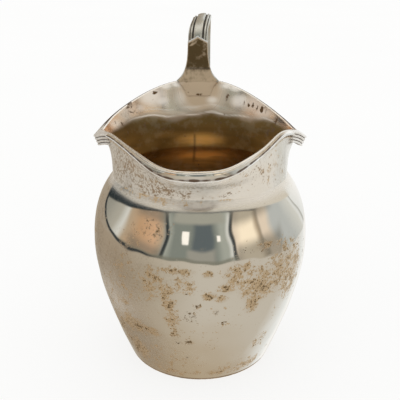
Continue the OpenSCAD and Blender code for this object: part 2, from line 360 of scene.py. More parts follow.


# reeded silver: bright ridges, dark tarnish kept in the grooves, brown film on the tongue; the same dark is
# also painted shade under the lip wire and along the border's top
reededLook = {
    "cloudScale": 160.0, "blotScale": 620.0, "grainScale": 1900.0, "bump": 0.2, "bumpHigh": 0.00004,
    "grooveEdge": (0.45, 0.85), "grooveGrain": 0.25, "wornBreak": (0.42, 0.68),
    "grainRough": (0.4, 0.75, 0.0, 0.1), "mattMetal": 0.4,
    "filmRise": (0.0, 0.12), "filmBreak": (0.08, 0.85), "filmBlot": 0.75, "filmUneven": 2.2,
}
edgingSilver = {
    **reededLook, "polish": 0.08, "dull": 0.45,
    "bright": (0.93, 0.92, 0.90, 1), "worn": (0.80, 0.76, 0.70, 1), "dark": (0.11, 0.072, 0.047, 1),
    "film": (0.12, 0.085, 0.042, 1), "thin": (0.55, 0.45, 0.32, 1),
}
handleSilver = {
    **reededLook, "polish": 0.32, "dull": 0.45,
    "bright": (0.74, 0.75, 0.73, 1), "worn": (0.66, 0.65, 0.61, 1), "dark": (0.065, 0.055, 0.045, 1),
    "film": (0.103, 0.066, 0.022, 1), "thin": (0.55, 0.43, 0.29, 1),
}


def makeReededSilver(name, look):
    material, tree, shader = newFinish(name)
    place = put(tree, "TexCoord", out="Object")
    groove = pointValue(tree, "groove")
    film = pointValue(tree, "film")
    cloud = noise(tree, place, look["cloudScale"], 4.0)
    blot = noise(tree, place, look["blotScale"], 5.0, 0.6)
    grain = noise(tree, place, look["grainScale"], 4.0, 0.65)
    tarnishShadeMask = fade(tree, plus(tree, groove, times(tree, grain, look["grooveGrain"])), *look["grooveEdge"])
    plain = mixTone(tree, fade(tree, cloud, *look["wornBreak"]), look["bright"], look["worn"])
    # the film breaks up into thick and thin
    uneven = weigh(tree, cloud, blot, look["filmBlot"])
    broken = plus(tree, film, times(tree, minus(tree, uneven, 0.5), look["filmUneven"]))
    brown = mixTone(tree, fade(tree, broken, *look["filmBreak"]), look["thin"], look["film"])
    filmed = fade(tree, film, *look["filmRise"])
    plain = mixTone(tree, filmed, plain, brown)
    color = mixTone(tree, tarnishShadeMask, plain, look["dark"])
    covered = most(tree, tarnishShadeMask, filmed)
    matt = most(tree, covered, pointValue(tree, "brushed"))
    rough = mixValue(tree, matt, look["polish"], look["dull"])
    rough = plus(tree, rough, fade(tree, grain, *look["grainRough"]))
    normal = put(tree, "Bump", {"Strength": look["bump"], "Distance": look["bumpHigh"], "Height": grain})
    metal = fade(tree, matt, 0.0, 1.0, 1.0, look["mattMetal"])
    feed(tree, shader, color=color, rough=rough, metal=metal, normal=normal)
    return material


outsideFinish = makeWornSilver("worn_silver", wornSilver)
insideFinish = makeGiltInside("gilt_inside", giltInside)
edgingFinish = makeReededSilver("edging_silver", edgingSilver)
handleFinish = makeReededSilver("handle_silver", handleSilver)
print("finishes made")


# bowl: turned round its axis from the base disc to the waist
bowlShape = {
    "bellyR": 36.3, "bellyZ": 43.0, "baseR": 25.9, "baseZ": 0.9, "waistR": 29.0, "waistZ": 66.0,
    "bellyPull": 6.3, "shoulderPull": 16.7, "waistPull": 1.3, "flarePull": 0.4, "flareZ": 27.0,
    "sheet": 0.8, "columns": 240, "rows": 52, "ripple": 0.034, "calm": 9.0,
    "waves": [(9, -19, 70, 0.6), (16, 26, 150, 0.4), (31, -44, 0, 0.2)],  # turns, climb, start, share
    "patches": {
        "stain": [
            (-24, 41, 6, 7.5, 0.155), (-17, 38.5, 4, 4.5, 0.19), (-7, 42, 3.2, 4.4, 0.17),
            (-11, 46.2, 7, 1.3, 0.2), (-15, 32, 3, 8, 0.2), (-13, 23, 2.4, 5.5, 0.14),
            (-5.9, 19.3, 2, 1.5, 0.16), (-5.2, 30.2, 4.6, 4.6, 0.08), (5.1, 38, 2.7, 1.6, 0.22),
            (4, 45.4, 2.1, 1.4, 0.22), (19.5, 45, 6, 3.6, 0.19), (13.7, 40.4, 3.8, 2.6, 0.19),
            (17.5, 43, 3.6, 2.6, 0.2), (10.5, 37, 2.4, 1.8, 0.2), (22, 41, 6, 4, 0.16),
            (29.3, 39.5, 7, 7, 0.21), (27, 33, 3, 4, 0.2), (42, 41, 7, 8, 0.18), (53, 39.5, 8, 11, 0.19),
            (34.4, 51.8, 7, 2, 0.14), (48, 50, 5, 3, 0.15), (-42.2, 21.7, 8, 4.2, 0.2),
            (-28.8, 21.4, 5.4, 2.4, 0.2), (-44.4, 9.5, 6, 8, 0.19), (-55, 16, 8, 10, 0.15),
            (-7.2, 12, 1.3, 1.4, 0.15), (-2.5, 4.3, 1.6, 1, 0.23), (8, 4, 2, 1, 0.2),
            (14, 3.4, 4, 1.4, 0.21), (33.6, 4.4, 7, 3, 0.19), (39.6, 14.9, 4, 4, 0.13),
            (8.2, 32, 1.4, 1.8, 0.14), (12.2, 27.7, 1.1, 1.1, 0.12), (-1, 34.5, 1.6, 1.2, 0.14),
            (-32, 65.8, 14, 1.6, 0.14), (-20, 65.4, 10, 1.6, 0.12), (15, 66, 2.6, 1.2, 0.16),
            (-40, 40, 10, 13, 0.11), (-44, 30.4, 3, 2, 0.2), (-25, 3.7, 12, 3.4, 0.15),
            (-34, 10, 20, 8, 0.115), (-52, 24, 14, 16, 0.09), (-36, 53, 5, 5, 0.1),
            (-25, 57, 7, 4.4, 0.115), (-8, 28, 34, 24, 0.04), (29, 5, 12, 4, 0.14), (110, 30, 18, 13, 0.19),
            (160, 44, 20, 12, 0.19), (-125, 36, 18, 15, 0.19), (-165, 20, 15, 10, 0.18),
            (-80, 50, 12, 14, 0.13), (-95, 14, 15, 8, 0.18),
        ],
        "haze": [
            (-60, 30, 16, 12, 0.5), (-40, 12, 22, 10, 0.15), (0, 66.6, 70, 3.1, 1.0),
            (60, 67, 70, 2.6, 1.0), (-60, 67, 70, 2.6, 1.0), (180, 50, 40, 22, 0.45),
            (-34, 66.4, 16, 2.0, 0.9),
        ],
        "grime": [
            (-74, 36, 12, 24, 0.6), (-54, 14, 16, 14, 0.5), (-38, 66.6, 22, 2.6, 0.85),
            (-26, 43, 8, 7, 0.3), (-42, 41, 18, 9, 0.34), (180, 40, 60, 30, 0.45), (110, 40, 20, 24, 0.4),
        ],
        "fleck": [
            (-72, 38, 14, 26, 0.1), (-30, 66, 16, 2, 0.1), (60, 42, 12, 14, 0.11), (0, 30, 30, 26, 0.03),
            (48, 45, 6, 9, 0.11), (-5.9, 19.3, 1.6, 1.1, 0.25), (8.2, 32, 1.1, 1.2, 0.22),
            (12.2, 27.7, 0.9, 0.9, 0.23), (-1, 34.5, 1.2, 0.9, 0.22), (-7.2, 12, 1, 1.1, 0.24),
            (-6, 39, 0.9, 0.9, 0.2), (-5.2, 30.2, 4.6, 4.2, 0.14), (-13, 22, 2.6, 5, 0.14),
            (-12.4, 18.6, 1.2, 0.9, 0.21), (5.1, 38, 2.4, 1.4, 0.15), (4, 45.4, 1.8, 1.2, 0.15),
            (13.7, 39.4, 3, 1.6, 0.13), (27, 33, 3, 4, 0.13), (39.6, 14.9, 4, 3.6, 0.12),
            (14, 3.4, 4, 1.4, 0.13), (-2.5, 4.3, 1.6, 1, 0.15), (-44, 29.6, 3, 2, 0.13),
            (-42, 22, 8, 3, 0.165), (-46, 10, 6, 8, 0.155), (-55, 16, 8, 10, 0.14), (34, 5, 7, 2.6, 0.12),
            (34, 51.6, 8, 2.4, 0.14), (-25, 57.4, 8, 4.6, 0.11), (22, 51.5, 7, 2, 0.125),
        ],
    },
}


def bowlOutline(shape):
    wide, high = shape["bellyR"], shape["bellyZ"]
    narrow, top = shape["waistR"], shape["waistZ"]
    flare = (wide - shape["flarePull"], shape["flareZ"])
    lower = cubicLine((shape["baseR"], shape["baseZ"]), flare, (wide, high - shape["bellyPull"]),
                      (wide, high), shape["rows"])
    upper = cubicLine((wide, high), (wide, high + shape["shoulderPull"]), (narrow, top - shape["waistPull"]),
                      (narrow, top), shape["rows"], 1)
    return np.vstack([lower, upper])


def bowlRadius(z):
    line = bowlOutline(bowlShape)
    return np.interp(z, line[:, 1], line[:, 0])


# painted light and shade of the inside: back wall glowing between dark sides, bright floor; a dark seam up
# the back wall
insideLook = {
    "paintedGlows": [
        (179, 68.4, 9.5, 2.8, 0.7), (178, 61.2, 11, 3, 1.0), (180, 62, 17, 7, 0.45), (180, 71, 14, 5, 0.1),
        (-160, 71, 12, 2, 0.14), (152, 68, 8, 3, 0.18), (180, 22, 120, 28, 1.0), (0, 22, 120, 28, 1.0),
        (0, 62, 60, 14, 0.8),
    ],
    "shadePatches": [
        (-116, 70, 14, 9, 1.7), (-132, 62, 18, 9, 1.4), (118, 70, 12, 8, 0.95), (136, 60, 18, 9, 1.2),
        (180, 71.6, 60, 3, 0.7), (-146, 67, 12, 6, 1.2), (146, 66.6, 12, 6, 1.2), (180, 64.6, 14, 0.7, 0.8),
        (180, 53.5, 40, 3, 0.5),
    ],
    "seamAngle": -175.6, "seamWide": 0.45, "seamLow": 56.0, "seamRise": 4.0, "seamHigh": 71.5,
    "seamFall": 1.5, "seamDim": 0.7, "seamDark": 0.8,
}


def paintInside(piece, points):
    look = insideLook
    a, r = aroundAxis(points)
    z = points[..., 2]
    seam = bell(np.radians(turnFrom(a, look["seamAngle"])) * r, look["seamWide"])
    seam = seam * limit((z - look["seamLow"]) / look["seamRise"])
    seam = seam * limit((look["seamHigh"] - z) / look["seamFall"])
    # glow: painted light, dimmed along the seam
    paintPoints(piece, "glow", stainField(points, look["paintedGlows"]) * (1 - look["seamDim"] * seam))
    # deep: painted shade on the sides and low walls, with the seam's dark line
    paintPoints(piece, "deep", np.maximum(stainField(points, look["shadePatches"]), look["seamDark"] * seam))


def makeBowl(shape):
    line = bowlOutline(shape)
    inner = line[::-2] - [shape["sheet"], 0]
    section = np.vstack([line, inner])
    a = np.arange(shape["columns"]) * 360 / shape["columns"]
    r, z = section[:, 0], section[:, 1]
    # slow ripple of hand-raised sheet, gone at both ends
    calm = limit(np.minimum(z - shape["baseZ"], shape["waistZ"] - z) / shape["calm"])
    turn = a[:, None]
    ripple = cosd(5 * turn + 15 * z) * cosd(21 * z + 40)
    for turns, climb, start, share in shape["waves"]:
        ripple = ripple + share * cosd(turns * turn + climb * z + start)
    r = r + shape["ripple"] * calm * ripple
    loops = np.stack([r * sind(turn), -r * cosd(turn), z + 0 * r], -1)
    piece = buildSkin("bowl_body", loops, ring=True)
    paintPatches(piece, loops, shape["patches"])
    paintInside(piece, loops)
    setSides(piece, loops, np.arange(len(section)) >= len(line) - 1)
    placePiece(piece, "bowl", [outsideFinish, insideFinish])


makeBowl(bowlShape)


# mouth: lip in front, corners at the sides, collar rising to the handle
mouthShape = {
    "rimZ": 79.0, "backRise": 11.2, "backCurve": 2.2, "lipDrop": 0.1, "lipReach": 43.8, "lipFocus": 10,
    "flankX": 30.8, "flankAngle": 27.2, "cornerR": 33.6, "backR": 33.4, "cornerDip": 1.1, "cornerAngle": 100,
    "cornerSpan": 11, "lipRound": 12, "cornerRound": 80, "rightLift": 2.2, "liftAngle": 69, "liftSpan": 21,
    "rightFall": 1.9, "fallAngle": 112, "fallFront": 22, "fallBack": 58, "flare": 1.2, "lipFlare": 0.3,
    "crease": 0.54, "creaseSoft": 0.04, "skew": -1.0, "columns": 320, "rows": 54, "crowd": 7,
    "edgeHigh": 0.25, "edgeTurns": (35, 65, 90, 115, 145),
    # edge of the gilding: lift in front, waves (turns, start, height) and rises (angle, span, height)
    "giltFront": 0.32, "giltWaves": [(9, 0, 0.012), (17, 60, 0.01)],
    "giltRises": [(118, 34, 0.15), (226, 14, 0.11)], "giltAt": 0.56, "giltAbove": 4.8, "giltBelow": 2.7,
    "haze": 1.0, "backHaze": 0.6, "backFrom": 107.5, "brightAngle": 76, "brightSpan": 22, "brightHaze": 0.55,
    # rim shine keys: a painted highlight along the collar's edge and the lip's inner edge
    "underWire": 0.3, "underSpan": 0.035, "rimShineFrom": 92, "rimShineLeft": 0.95, "rimShineRight": 0.6,
    "lipShineEnd": 90, "lipShineShare": 0.5, "rimShineSpan": 8,
    # arcs are painted highlights along the crease
    "arcs": [(-0.03, 0.012, 1.0), (0.07, 0.014, 0.6)],  # bright arcs along the crease: offset, span, share
    "stains": [
        (-24, 69, 16, 4.5, 0.1), (28, 73, 12, 5, 0.085), (-42, 74, 12, 6, 0.1), (48, 73, 12, 6, 0.095),
        (62, 70, 6, 4, 0.09), (120, 72, 12, 5, 0.12), (-140, 75, 14, 6, 0.12),
    ],
    "insideStains": [
        (-131, 82.4, 4, 2.2, 0.23), (-126, 80.6, 4, 2, 0.23), (-150, 86.2, 1.4, 0.8, 0.26),
        (149, 83.3, 0.45, 1, 0.4), (145.8, 82.6, 0.45, 1.3, 0.42), (142.4, 82.2, 0.45, 1.4, 0.42),
        (139, 81.8, 0.45, 1.3, 0.42), (135.6, 81.2, 0.45, 1.4, 0.42), (132.1, 80.8, 0.45, 1.2, 0.42),
        (128.8, 80.2, 0.45, 1.2, 0.4), (125.4, 79.7, 0.45, 1, 0.4), (122.2, 79.2, 0.5, 0.9, 0.4),
        (126, 80, 8, 2.2, 0.06), (117, 78, 2.6, 1.6, 0.2), (-122, 78, 4, 2, 0.23), (-150, 73.5, 5, 2, 0.22),
        (168, 76, 2, 1.5, 0.24), (106, 77.2, 4, 2, 0.24), (-157, 87.4, 1.3, 0.6, 0.22),
        (112, 74, 4, 3, 0.26), (160.3, 84, 0.9, 3, 0.24), (-160, 83.6, 1, 2.6, 0.18),
        (-136.5, 75.6, 1.7, 1.5, 0.28), (121, 75.4, 1.6, 1.6, 0.28), (125, 74, 1.2, 1.4, 0.26),
        (166.5, 76.6, 0.8, 0.8, 0.26),
    ],
    # patches where the painted highlight arcs show
    "arcHighlights": [
        (-146, 79, 10, 6, 0.9), (-172, 79, 5, 6, 0.8), (168, 79, 5, 6, 0.8), (150, 79, 5, 6, 0.7),
        (130, 79, 5, 6, 0.8),
    ],
    # glints: painted highlights on the collar
    "glints": [
        (-157, 88.6, 2.6, 1.6, 0.9), (156, 88, 3.2, 1.6, 0.95), (-146, 85.4, 6, 4, 0.85),
        (-112, 78.6, 3.4, 1.6, 0.6), (142, 83, 8, 3.6, 0.55), (152, 83.4, 3.8, 2.6, 0.85),
        (-128, 82.4, 5, 3, 0.4), (-165, 84, 2.4, 2.4, 0.45), (-152, 83.6, 3.2, 2, 0.8),
        (-136.5, 81.8, 2.4, 1.5, 0.6), (-164, 88.9, 2, 1.2, 1.0), (142, 81.6, 3, 1.5, 0.35),
        (171.5, 83.3, 2, 1.2, 0.65), (162.5, 88.4, 2.2, 1.2, 1.0), (134, 80.4, 5, 2, 0.6),
    ],
    "dulls": [
        (180, 88, 9, 10, 1.4), (180, 78.5, 20, 2.6, 0.5), (-148, 78, 8, 1.8, 0.75),
    ],
    "patches": {
        "copper": [
            (-108, 79, 9, 4, 1.0), (110, 78, 9, 3.6, 1.0), (-128, 82, 10, 4, 0.6),
            (131, 81.2, 10, 3.6, 0.28), (155, 82, 4, 3, 0.4), (-150, 86, 8, 3, 0.5),
        ],
        "fleck": [
            (-50, 73, 20, 8, 0.175), (-24, 68.6, 20, 4, 0.172), (40, 73, 16, 6, 0.13),
            (60, 71, 12, 6, 0.125), (16, 67.5, 3, 1.4, 0.17), (0, 72, 20, 6, 0.06), (180, 74, 60, 14, 0.08),
        ],
        "grime": [
            (-52, 72, 24, 12, 0.95), (-8, 71.4, 20, 1.3, 0.8), (-30, 69.6, 10, 2.4, 0.7),
            (14, 71.2, 9, 1.2, 0.6), (45, 72, 14, 7, 0.12), (180, 74, 60, 14, 0.4),
        ],
    },
}


def backShare(a):
    return np.where(cosd(a) < 0, cosd(a) ** 2, 0)


def cornerShare(a):
    return bell(fromLip(a) - mouthShape["cornerAngle"], mouthShape["cornerSpan"])


def lipShare(a):
    return np.maximum(0, cosd(a)) ** mouthShape["lipFocus"]


def rimRadius(a):
    shape = mouthShape
    s, c = np.abs(sind(a)), cosd(a)
    lipNear = np.maximum(0, c) / shape["lipReach"]
    flankNear = np.maximum(0, s + math.tan(math.radians(shape["flankAngle"])) * c) / shape["flankX"]
    frontNear = (lipNear ** shape["lipRound"] + flankNear ** shape["lipRound"]) ** (1 / shape["lipRound"])
    grown = shape["cornerR"] + (shape["backR"] - shape["cornerR"]) * backShare(a)
    backNear = np.where(c > 0, s / shape["cornerR"], 1 / grown)
    power = shape["cornerRound"]
    return (frontNear ** power + backNear ** power) ** (-1 / power)


def rimTop(a):
    shape = mouthShape
    lifted = shape["rimZ"] + shape["backRise"] * np.maximum(0, -cosd(a)) ** shape["backCurve"]
    lifted = lifted + shape["rightLift"] * bell(a - shape["liftAngle"], shape["liftSpan"])
    past = a - shape["fallAngle"]
    away = np.minimum(1, np.where(past < 0, -past / shape["fallFront"], past / shape["fallBack"]))
    lifted = lifted - shape["rightFall"] * (1 - ease(away))
    return lifted - shape["cornerDip"] * cornerShare(a) - shape["lipDrop"] * lipShare(a)


def creaseShare(t):
    def bend(v):
        return np.sqrt((v - mouthShape["crease"]) ** 2 + mouthShape["creaseSoft"] ** 2) + v
    return (bend(t) - bend(0.0)) / (bend(1.0) - bend(0.0))


def wallPoint(a, t):
    power = mouthShape["flare"] + np.where(cosd(a) > 0, mouthShape["lipFlare"] * cosd(a) ** 2, 0)
    flare = (1 - backShare(a)) * np.maximum(t, 0) ** power + backShare(a) * creaseShare(t)
    r = bowlShape["waistR"] + (rimRadius(a) - bowlShape["waistR"]) * flare
    z = bowlShape["waistZ"] + (rimTop(a) - bowlShape["waistZ"]) * t
    return np.stack([r * sind(a) + mouthShape["skew"] * cosd(a) ** 2 * t, -r * cosd(a), z], -1)


def wallOut(a, t):
    turnStep, riseStep = 0.2, 0.005
    across = wallPoint(a + turnStep, t) - wallPoint(a - turnStep, t)
    upward = wallPoint(a, t + riseStep) - wallPoint(a, t - riseStep)
    return unit(np.cross(across, upward))


def spacedAngles(count, first, last):
    # closer together at the lip, the corners and the handle
    v = np.linspace(0, 1, count + 1)
    return first + (last - first) * (180 * v - mouthShape["crowd"] * sind(720 * v)) / 180


# edging: a plain half-round wire round the lip, a border of four reeds round the collar
edgingShape = {
    "joint": 86, "cornerSwell": 1.5, "cornerFan": 0.1, "lipSwell": 1.2, "lipFan": 0.95, "droop": 0.16,
    "gap": 0.03, "wireWide": 1.8, "wireOut": 0.7, "wireEdge": 0.2, "wireSteps": 30, "wireColumns": 200,
    # across the wire, from nought at the rim to one: a dark line, bright below it, film above it, and painted
    # shade on the underside
    "lineAt": 0.23, "lineLip": 0.01, "lineThin": 0.06, "lineSwell": 0.06, "lineBreaks": (23, 15, 61, 30),
    "lineSwells": (11, 40, 29, 0), "flankLine": 0.75, "shineAngle": 80, "shineFade": 24,
    "lineLeast": 0.45, "shineLeast": 0.3, "undersideShadeAt": 0.75, "undersideShadeSoft": 0.1, "footDark": 0.8,
    "shineAt": 0.16, "shineSpan": 0.08, "filmAt": 0.06, "filmSpan": 0.11, "film": 0.26,
    "borderWide": 3.9, "borderOut": 1.3, "borderProud": 0.4, "borderColumns": 240, "jointShare": 0.5,
    "jointSpan": 8, "grooveDeep": 0.45, "grooveDark": 1.2, "reeds": 4, "reedSteps": 14,
    "endDrop": 0.7, "endSquare": 24, "rimShare": 0.16, "rimDark": 0.85,
    "paleFrom": 70, "paleSpan": 12, "paleRight": 0.85, "paleLeft": 0.55,
}


def edgingSpan(a, wide):
    # share of the wall's height that an edging covers, by the length of the wall's top tenth
    tenth = 0.1
    drop = wallPoint(a, np.ones((1, 1))) - wallPoint(a, np.full((1, 1), 1 - tenth))
    fan = 1 + edgingShape["cornerFan"] * cornerShare(a) + edgingShape["lipFan"] * lipShare(a)
    return tenth * wide * fan / np.linalg.norm(drop, axis=-1)


def paintMouth(piece, shape, loops, a, level):
    turned = fromLip(a)
    row = np.arange(loops.shape[1])
    rim = shape["rows"] + 1  # first row of the rounded edge, inner wall before it
    outside = rim + len(shape["edgeTurns"])
    # tarnish kept in the corner under the wire of the lip
    low = 1 - edgingSpan(a, edgingShape["wireWide"])
    under = np.exp(-np.maximum(0, low - level) / shape["underSpan"]) * (turned < edgingShape["joint"])
    inStain, outStain = (stainField(loops, shape[name]) for name in ("insideStains", "stains"))
    stain = np.where(row < rim + 2, inStain, outStain)
    paintPoints(piece, "stain", np.maximum(stain, np.where(row > outside, shape["underWire"] * under, 0)))
    haze = np.where(turned < shape["backFrom"], shape["haze"], shape["backHaze"])
    haze = haze - shape["brightHaze"] * bell(a - shape["brightAngle"], shape["brightSpan"], 4)
    paintPoints(piece, "haze", np.repeat(haze, len(row), 1))
    paintPoints(piece, "dull", limit(stainField(loops, shape["dulls"])))
    paintPatches(piece, loops, shape["patches"])
    paintInside(piece, loops)
    # edge of the gilding, and painted highlights: bright arcs along it and glints on the collar
    crease = shape["crease"] + shape["giltFront"] * (1 - backShare(a)) ** 2
    for turns, start, high in shape["giltWaves"]:
        crease = crease + high * sind(turns * a + start)
    for angle, span, high in shape["giltRises"]:
        crease = crease + high * bell(a - angle, span)
    past = level - crease
    steep = np.where(past > 0, shape["giltAbove"], shape["giltBelow"])
    paintPoints(piece, "collar", limit(shape["giltAt"] + past * steep))
    arcs = sum(share * bell(past - offset, span) for offset, span, share in shape["arcs"])
    glint = np.maximum(stainField(loops, shape["arcHighlights"]) * arcs, stainField(loops, shape["glints"]))
    # painted highlight along the collar's edge, and along the lip's on its inner side
    rimShine = np.where(sind(a) < 0, shape["rimShineLeft"], shape["rimShineRight"])
    worn = rimShine * limit((turned - shape["rimShineFrom"]) / shape["rimShineSpan"])
    lipShine = shape["lipShineShare"] * limit((shape["lipShineEnd"] - turned) / shape["rimShineSpan"])
    worn = np.maximum(worn, np.where(row < rim + 1, lipShine, 0))
    onEdge = (row >= rim - 1) & (row < outside - 1)
    paintPoints(piece, "ridge", np.where(onEdge, np.maximum(glint, worn), glint))


def makeMouth(shape):
    a = np.arange(shape["columns"]) * 360 / shape["columns"]
    a = (a - shape["crowd"] * sind(4 * a))[:, None]
    t = np.linspace(0, 1, shape["rows"] + 1)[None, :]
    outer = wallPoint(a, t)
    out = wallOut(a, t)
    out[:, 0] = np.stack([sind(a[:, 0]), -cosd(a[:, 0]), 0 * a[:, 0]], -1)  # level at the waist
    inner = outer - bowlShape["sheet"] * out
    middle = (outer[:, -1] + inner[:, -1]) / 2
    half = (outer[:, -1] - inner[:, -1]) / 2
    upward = shape["edgeHigh"] * unit(outer[:, -1] - outer[:, -2])
    edge = [middle - half * cosd(v) + upward * sind(v) for v in shape["edgeTurns"]]
    loops = np.concatenate([inner, np.stack(edge, 1), outer[:, ::-1]], 1)
    piece = buildSkin("mouth_wall", loops, ring=True, sharp=60)
    rising = np.repeat(t, len(a), 0)
    level = np.concatenate([rising, np.ones((len(a), len(edge))), rising[:, ::-1]], 1)
    paintMouth(piece, shape, loops, a, level)
    setSides(piece, loops, np.arange(loops.shape[1]) < shape["rows"] + 4)  # inner wall and half the edge
    placePiece(piece, "mouth", [outsideFinish, insideFinish])


makeMouth(mouthShape)


def edgingLoops(angles, wide, heights, grooves, proud=0.0):
    shape = edgingShape
    a = angles[:, None]
    t = 1 + edgingSpan(a, wide) * (proud - np.linspace(0, 1, heights.shape[1])[None, :])
    swell = 1 + shape["cornerSwell"] * cornerShare(a) + shape["lipSwell"] * lipShare(a)
    wall, out = wallPoint(a, t), wallOut(a, t)
    outer = wall + (swell * heights - grooves[None, :])[..., None] * out
    outer[..., 2] -= shape["droop"] * cornerShare(a) * swell * heights
    return np.concatenate([outer, (wall + shape["gap"] * out)[:, ::-1]], 1)


def flicker(a, waves):
    # uneven from nought to one along an edging: turns and start of two waves
    first, firstStart, second, secondStart = waves
    return 0.5 + 0.5 * cosd(first * a + firstStart) * cosd(second * a + secondStart)


def paintBand(piece, name, band):
    # on the outer face of a strip, nothing on its back
    paintPoints(piece, name, np.concatenate([band, 0 * band], 1))


def makeLipWire(shape):
    k = np.arange(shape["wireSteps"] + 1) / shape["wireSteps"]
    heights = shape["wireEdge"] + shape["wireOut"] * np.sin(np.pi * k)
    angles = spacedAngles(shape["wireColumns"], -shape["joint"], shape["joint"])
    piece = buildSkin("lip_edge_wire", edgingLoops(angles, shape["wireWide"], heights[None, :], 0 * k))
    a, k = angles[:, None], k[None, :]
    # a tarnished line between a dull upper side and a bright lower edge
    low = shape["lineAt"] + shape["lineLip"] * lipShare(a) ** 0.5
    awayFromShine = limit((shape["shineAngle"] - a) / shape["shineFade"])  # paler towards the right corner: a painted highlight, less dark line and no film there
    flank = 1 - lipShare(a) ** 0.3
    broken = np.maximum(flicker(a, shape["lineBreaks"]), shape["flankLine"] * flank)
    thick = shape["lineThin"] + shape["lineSwell"] * flicker(a, shape["lineSwells"])
    dark = atLeast(shape["lineLeast"], broken) * atLeast(shape["shineLeast"], awayFromShine) * bell(k - low, thick, 4)
    # painted shade on the wire's underside
    foot = shape["footDark"] * limit((k - shape["undersideShadeAt"]) / shape["undersideShadeSoft"])
    paintBand(piece, "groove", np.maximum(dark, foot))
    paintBand(piece, "brushed", bell(k - low - shape["shineAt"], shape["shineSpan"]))
    paintBand(piece, "film", shape["film"] * flank * awayFromShine * bell(k - shape["filmAt"], shape["filmSpan"], 4))
    placePiece(piece, "lip_wire", [edgingFinish])


def makeCollarBorder(shape):
    steps = shape["reeds"] * shape["reedSteps"]
    k = np.arange(steps + 1) / steps
    ridge = np.abs(np.sin(np.pi * shape["reeds"] * k))
    ends = np.abs(2 * k - 1) ** shape["endSquare"]
    heights = shape["borderOut"] * (1 - shape["endDrop"] * ends)
    grooves = shape["grooveDeep"] * (1 - ridge) * (1 - ends)
    angles = spacedAngles(shape["borderColumns"], shape["joint"], 360 - shape["joint"])
    # it grows from the height of the wire at the joint
    grown = limit((180 - np.abs(180 - angles) - shape["joint"]) / shape["jointSpan"])[:, None]
    heights = atLeast(shape["jointShare"], grown) * heights[None, :]
    proud = shape["borderProud"] / shape["borderWide"] * grown
    piece = buildSkin("collar_reeds", edgingLoops(angles, shape["borderWide"], heights, grooves, proud))
    # dark along the rim, the solder line with painted shade over the border's top; bright at the corners
    pale = limit((np.abs(180 - angles) - shape["paleFrom"]) / shape["paleSpan"])[:, None]
    dark = limit(shape["grooveDark"] * (1 - ridge) ** 2)[None, :]
    dark = np.where(k[None, :] < shape["rimShare"], shape["rimDark"] * (1 - pale), dark)
    paintPoints(piece, "groove", np.concatenate([dark, dark[:, ::-1]], 1))
    bright = np.where(angles < 180, shape["paleRight"], shape["paleLeft"])[:, None] * pale
    paintPoints(piece, "brushed", np.repeat(bright, 2 * len(k), 1))
    placePiece(piece, "collar_border", [edgingFinish])


makeLipWire(edgingShape)
makeCollarBorder(edgingShape)


# handle: plain tongue lapped inside the collar, reeded strap looping back to the bowl
handleShape = {
    "tongueHalf": 3.6, "tongueZ": 104.0, "tonguePoint": 2.0, "tongueThick": 0.9, "tongueFootZ": 84.8,
    "tongueFan": 4.2, "fanHigh": 3.2, "tongueBend": 7.0, "feather": 0.25, "sideThin": 0.9, "gap": 0.03,
    "tongueColumns": 40, "tongueRows": 60, "bevel": 0.5, "bevelSteps": 3,
    # film on the tongue, from nought at its foot to one under its point
    "filmThin": 0.14, "filmThick": 0.66, "filmFrom": 0.42, "filmRise": 0.13, "bellyAt": 0.62,
    "bellySpan": 0.08, "lineAt": 0.5, "lineSpan": 0.05, "lineDark": 0.52, "footSpan": 0.35, "footDark": 0.2,
    "barBelow": 1.9, "barSpan": 0.35, "barSides": (-0.85, -0.1), "barThin": 0.75,
    "edgeShineTop": 0.6, "edgeShineSoft": 0.3, "edgeShineSide": 0.97, "edgeShineSideSoft": 0.08, "collarDrop": 0.6,
    "footStains": [(-177, 85.2, 3, 0.5, 0.26), (173, 85.2, 1.2, 0.7, 0.34), (-171.5, 87.4, 1.6, 2.8, 0.2)],
    "strapHalf": 3.5, "footHalf": 4.4, "strapPlain": 1.0, "strapStart": 0.4, "lean": 1.6, "roll": 0.5,
    "loopY": 61.5, "loopZ": 111.2, "footZ": 52.0, "crownY": 47, "backZ": 93,
    # pulls of the loop's curves, in order over the top and down to the foot
    "risePull": 109, "crownPull": 41, "overPull": 56, "backPull": 104, "lowPull": 77, "footPull": (52, 58),
    "riseSteps": 26, "loopSteps": 44, "strapColumns": 96, "reliefFrom": 1.4, "reliefSpan": 0.8,
    # half of the strap's section: share of the half width, height
    "section": [
        (0, 1.75), (0.2, 1.72), (0.41, 1.58), (0.48, 0.95), (0.57, 0.9), (0.64, 1.22), (0.76, 1.15),
        (0.82, 0.7), (0.87, 0.8), (0.93, 0.75), (1, 0.35),
    ],
    "bandEdge": 0.62, "bandTop": 1.45, "bandFall": 0.25, "reedEdge": 0.88, "reedTop": 1.05, "reedFall": 0.3,
    "reedDark": 0.8,
}
collarZ = float(rimTop(180.0))
collarTilt = math.atan((mouthShape["backR"] - bowlShape["waistR"])
                       / (collarZ - bowlShape["waistZ"]) / (1 - mouthShape["crease"]))


def collarLevel(z):
    return np.minimum(1, (z - bowlShape["waistZ"]) / (collarZ - bowlShape["waistZ"]))


def collarBack(z):
    return wallPoint(180.0, collarLevel(z))[..., 1] - bowlShape["sheet"] / math.cos(collarTilt)


leanStep = 0.5
collarLean = float(collarBack(collarZ) - collarBack(collarZ - leanStep)) / leanStep


def tongueRise(z):
    return np.clip(z - collarZ, 0, handleShape["tongueBend"])


def tongueBack(z):
    rise = tongueRise(z)
    straightened = rise - rise ** 2 / (2 * handleShape["tongueBend"])
    return collarBack(np.minimum(z, collarZ)) + collarLean * straightened


def tongueTop(x):
    return handleShape["tongueZ"] + handleShape["tonguePoint"] * (1 - np.abs(x))


